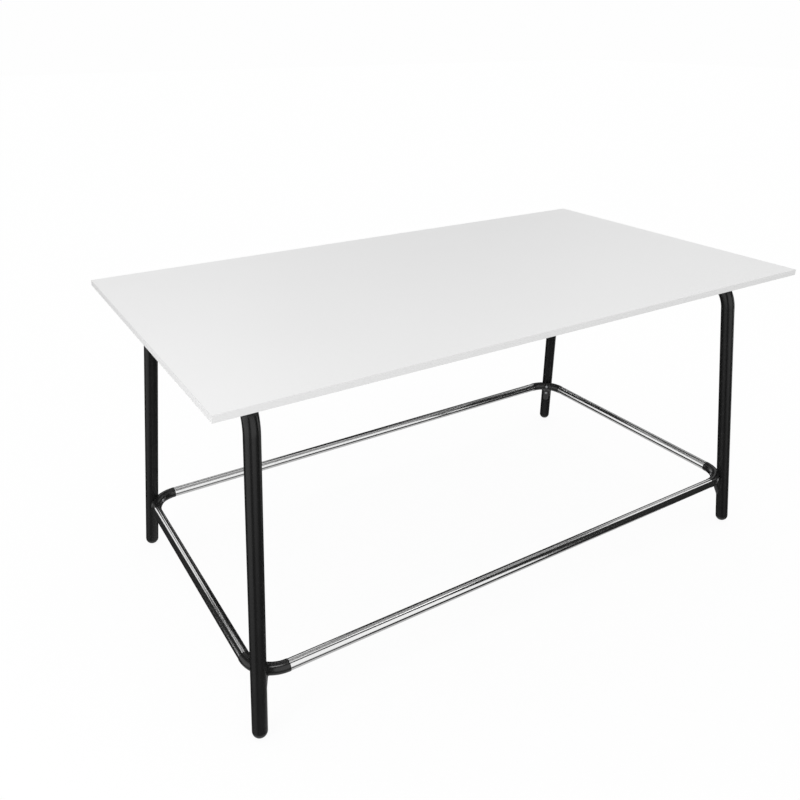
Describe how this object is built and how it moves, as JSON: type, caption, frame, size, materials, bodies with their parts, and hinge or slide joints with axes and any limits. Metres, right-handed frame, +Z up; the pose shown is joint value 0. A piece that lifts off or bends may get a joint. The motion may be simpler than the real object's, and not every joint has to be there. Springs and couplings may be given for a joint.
{
  "type": "standing meeting table",
  "caption": "Standing-height meeting table: thin white laminate top on bent black tube end frames with splayed legs and a polished foot rail joined by moulded corner elbows.",
  "frame": {"origin": "on the floor under the centre of the top", "axes": "+X along the table to the right as seen in the picture, +Y across it away from the viewer, +Z up"},
  "size_m": [1.8, 1, 0.9],
  "materials": {
    "laminate_white": "matte high-pressure laminate with a fine grain",
    "band_white": "matte plastic edge band",
    "board_core": "raw particle board, hidden",
    "coat_black": "satin black powder coat on steel",
    "moulded_black": "satin black moulded plastic",
    "chrome": "polished chrome plate on steel tube",
    "zinc": "bright zinc plate"
  },
  "bodies": {
    "root": {"edge_band_back": "band_white", "edge_band_front": "band_white", "edge_band_left": "band_white", "edge_band_right": "band_white", "elbow_back_left": "moulded_black", "elbow_back_right": "moulded_black", "elbow_front_left": "moulded_black", "elbow_front_right": "moulded_black", "elbow_screw_lower_back_left": "zinc", "elbow_screw_lower_back_right": "zinc", "elbow_screw_lower_front_left": "zinc", "elbow_screw_lower_front_right": "zinc", "elbow_screw_upper_back_left": "zinc", "elbow_screw_upper_back_right": "zinc", "elbow_screw_upper_front_left": "zinc", "elbow_screw_upper_front_right": "zinc", "end_block_back_left": "zinc", "end_block_back_right": "zinc", "end_block_front_left": "zinc", "end_block_front_right": "zinc", "foot_rail_back": "chrome", "foot_rail_front": "chrome", "foot_rail_left": "chrome", "foot_rail_right": "chrome", "glide_back_left": "moulded_black", "glide_back_right": "moulded_black", "glide_front_left": "moulded_black", "glide_front_right": "moulded_black", "leg_frame_left": "coat_black", "leg_frame_right": "coat_black", "rail_bolt_back_left": "zinc", "rail_bolt_back_right": "zinc", "rail_bolt_front_left": "zinc", "rail_bolt_front_right": "zinc", "saddle_plate_back_left": "coat_black", "saddle_plate_back_right": "coat_black", "saddle_plate_front_left": "coat_black", "saddle_plate_front_right": "coat_black", "saddle_screw_inner_back_left": "zinc", "saddle_screw_inner_back_right": "zinc", "saddle_screw_inner_front_left": "zinc", "saddle_screw_inner_front_right": "zinc", "saddle_screw_outer_back_left": "zinc", "saddle_screw_outer_back_right": "zinc", "saddle_screw_outer_front_left": "zinc", "saddle_screw_outer_front_right": "zinc", "stiffener_back": "coat_black", "stiffener_front": "coat_black", "stiffener_screw_back_left": "zinc", "stiffener_screw_back_middle": "zinc", "stiffener_screw_back_right": "zinc", "stiffener_screw_front_left": "zinc", "stiffener_screw_front_middle": "zinc", "stiffener_screw_front_right": "zinc", "tabletop_backing": "laminate_white", "tabletop_core": "board_core", "tabletop_laminate": "laminate_white"}
  },
  "joints": []
}
